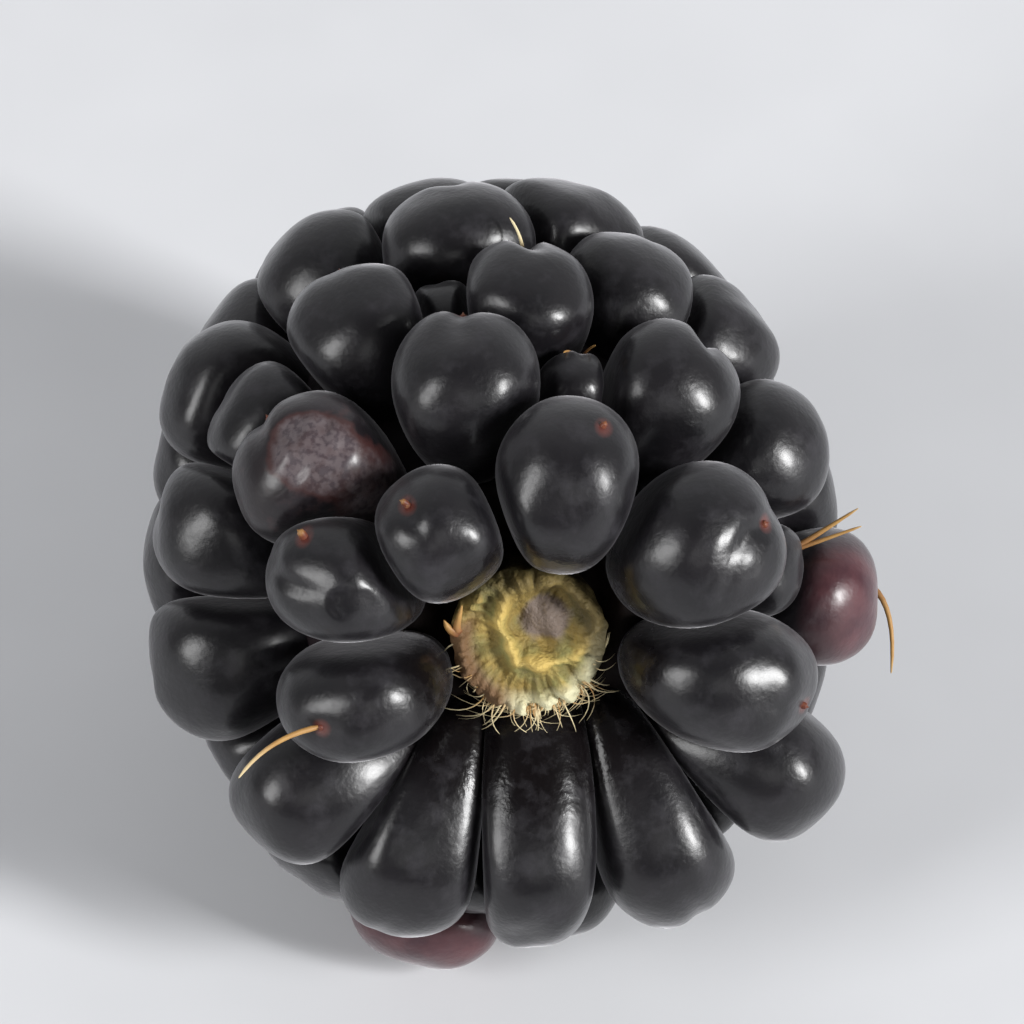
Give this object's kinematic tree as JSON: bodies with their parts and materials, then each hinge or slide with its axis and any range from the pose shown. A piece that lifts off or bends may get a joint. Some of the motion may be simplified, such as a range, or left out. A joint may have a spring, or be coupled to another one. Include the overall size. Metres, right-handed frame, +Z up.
{
  "type": "bramble berry",
  "caption": "Ripe bramble berry, a plump egg-shaped cluster of glossy near-black drupelets lying on its side, with the torn core showing in the ring at its stem end.",
  "frame": {"origin": "centre of the bounding box in X and Y, at the lowest point, on the surface that the berry lies on", "axes": "+Z up from the surface, -Y towards the stem end, which is raised, +Y towards the tip, +X to the right as seen from the stem end"},
  "size_m": [0.0236, 0.0276, 0.0221],
  "materials": {
    "drupelet_skin": "waxy gloss, near-black with a wine-red tint where less ripe",
    "torn_core": "moist fibrous yellow-green pith"
  },
  "bodies": {
    "root": {"drupelets": "drupelet_skin", "receptacle": "torn_core"}
  },
  "joints": []
}
